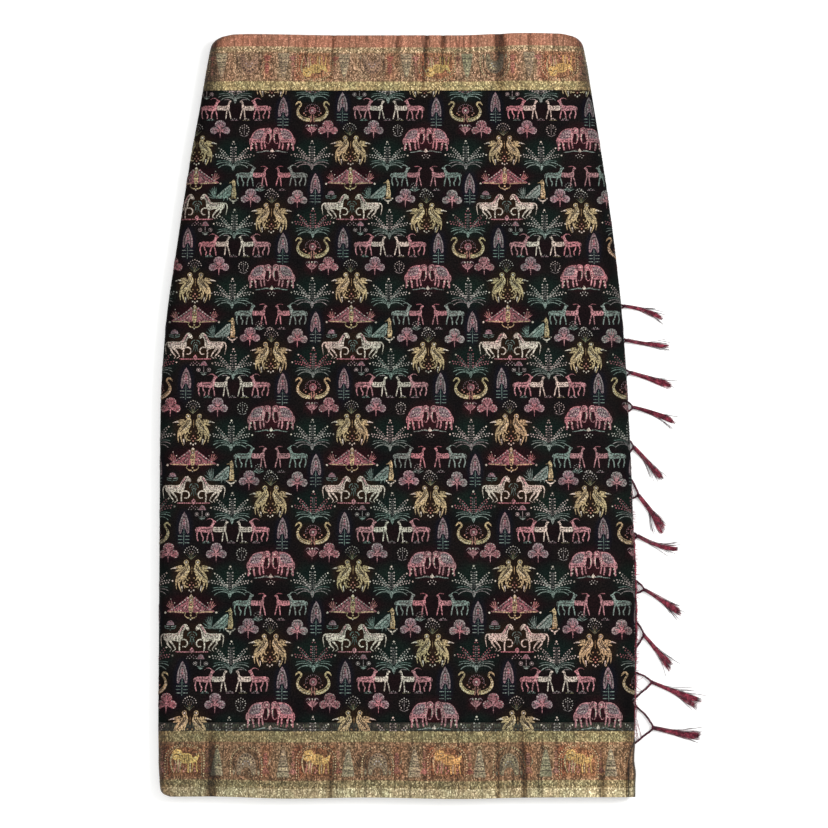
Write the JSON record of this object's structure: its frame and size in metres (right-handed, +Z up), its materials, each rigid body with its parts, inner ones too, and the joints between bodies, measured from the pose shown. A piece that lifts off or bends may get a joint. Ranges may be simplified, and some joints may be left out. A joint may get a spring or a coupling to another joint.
{
  "type": "folded brocade saree",
  "caption": "Black brocade saree with woven gold borders, folded and laid flat, its tasselled end showing at one side.",
  "frame": {"origin": "middle of the flat underside, where the folded saree rests on a surface", "axes": "+X across the fold towards the tasselled edge, +Y from the lower border to the upper one, +Z up"},
  "size_m": [0.7877, 1.155, 0.0174],
  "materials": {
    "field_brocade": "black silk with woven figures",
    "gold_border": "coppery gold metallic weave",
    "maroon_silk": "lustrous yarn"
  },
  "bodies": {
    "root": {"front_field": "field_brocade", "upper_border": "gold_border", "lower_border": "gold_border", "second_layer": "gold_border", "folded_layers": "field_brocade", "end_panel": "field_brocade", "end_heading": "maroon_silk", "tassel_01": "maroon_silk", "tassel_02": "maroon_silk", "tassel_03": "maroon_silk", "tassel_04": "maroon_silk", "tassel_05": "maroon_silk", "tassel_06": "maroon_silk", "tassel_07": "maroon_silk", "tassel_08": "maroon_silk", "tassel_09": "maroon_silk", "tassel_10": "maroon_silk", "tassel_11": "maroon_silk"}
  },
  "joints": []
}
